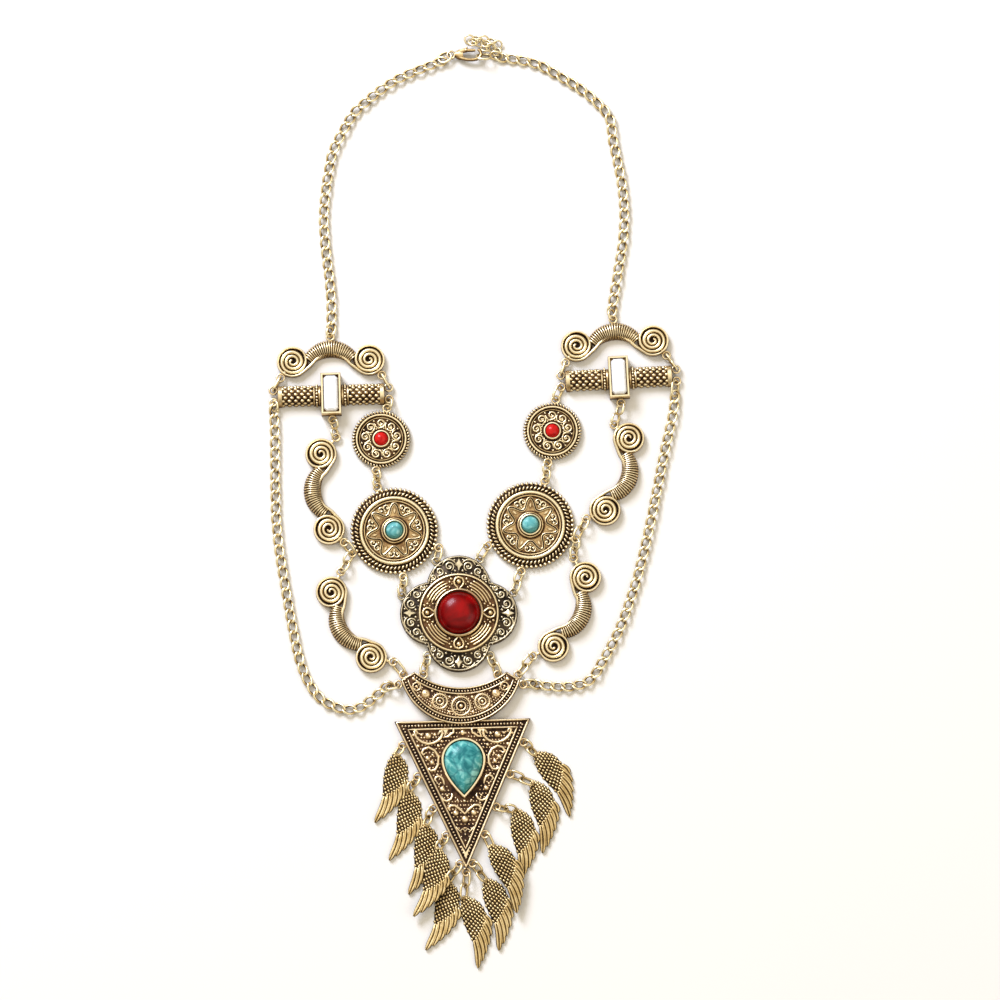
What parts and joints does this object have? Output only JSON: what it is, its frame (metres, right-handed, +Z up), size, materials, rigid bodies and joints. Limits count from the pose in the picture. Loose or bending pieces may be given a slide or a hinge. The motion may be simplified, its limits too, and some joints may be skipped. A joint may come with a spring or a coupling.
{
  "type": "tassel necklace",
  "caption": "Bib necklace in antique gold with medallions, crystal bars, scroll castings and chains, and a crescent and triangle pendant fringed with wing drops.",
  "frame": {"origin": "middle of the bounding box in plan, at the height of the surface that the necklace lies on", "axes": "+Z up from the surface towards the decorated face, +Y from the pendant to the clasp, +X to the viewer's right"},
  "size_m": [0.1574, 0.3606, 0.0083],
  "materials": {
    "antique_gold": "antique gold plate, worn bright on the high places and dark in the recesses",
    "bright_gold": "pale gold plate, polished, dark in the gaps",
    "dark_gold": "gold plate with a dark brown patina in the fields",
    "red_stone": "glossy deep red resin cabochon",
    "turquoise": "polished turquoise with darker veins",
    "crystal": "clear faceted crystal on foil"
  },
  "bodies": {
    "necklace": {"arch_scroll_left": "antique_gold", "arch_scroll_right": "antique_gold", "scroll_upper_left": "antique_gold", "scroll_upper_right": "antique_gold", "scroll_lower_left": "antique_gold", "scroll_lower_right": "antique_gold", "bar_left": "antique_gold", "crystal_left": "crystal", "bar_right": "antique_gold", "crystal_right": "crystal", "small_medallion_left": "antique_gold", "small_red_stone_left": "red_stone", "small_medallion_right": "antique_gold", "small_red_stone_right": "red_stone", "turquoise_medallion_left": "antique_gold", "turquoise_stone_left": "turquoise", "turquoise_medallion_right": "antique_gold", "turquoise_stone_right": "turquoise", "flower_medallion": "dark_gold", "red_cabochon": "red_stone", "crescent_and_triangle": "dark_gold", "pear_stone": "turquoise", "wing_1": "bright_gold", "wing_2": "bright_gold", "wing_3": "bright_gold", "wing_4": "bright_gold", "wing_5": "bright_gold", "wing_6": "bright_gold", "wing_7": "bright_gold", "wing_8": "bright_gold", "wing_9": "bright_gold", "wing_10": "bright_gold", "wing_11": "bright_gold", "ring_arch_bar_outer_left": "bright_gold", "ring_arch_bar_inner_left": "bright_gold", "ring_bar_medallion_left": "bright_gold", "rings_bar_scroll_left": "bright_gold", "rings_scroll_side_left": "bright_gold", "ring_medallions_left": "bright_gold", "ring_turquoise_flower_outer_left": "bright_gold", "ring_turquoise_flower_inner_left": "bright_gold", "ring_scroll_crescent_left": "bright_gold", "ring_flower_crescent_left": "bright_gold", "ring_arch_bar_outer_right": "bright_gold", "ring_arch_bar_inner_right": "bright_gold", "ring_bar_medallion_right": "bright_gold", "rings_bar_scroll_right": "bright_gold", "rings_scroll_side_right": "bright_gold", "ring_medallions_right": "bright_gold", "ring_turquoise_flower_outer_right": "bright_gold", "ring_turquoise_flower_inner_right": "bright_gold", "ring_scroll_crescent_right": "bright_gold", "ring_flower_crescent_right": "bright_gold", "neck_chain_left": "bright_gold", "neck_chain_right": "bright_gold", "drape_chain_left": "bright_gold", "drape_chain_right": "bright_gold", "extender_chain": "bright_gold", "clasp_body": "antique_gold"},
    "clasp_lever": {"clasp_lever": "antique_gold"}
  },
  "joints": [
    {"name": "clasp_lever_hinge", "type": "hinge", "parent": "necklace", "child": "clasp_lever", "pos_m": [-0.0036, 0.17327, 0.00225], "axis": [0, 0, -1], "range_deg": [0, 25], "stiffness_Nm_per_rad": 0.02}
  ]
}
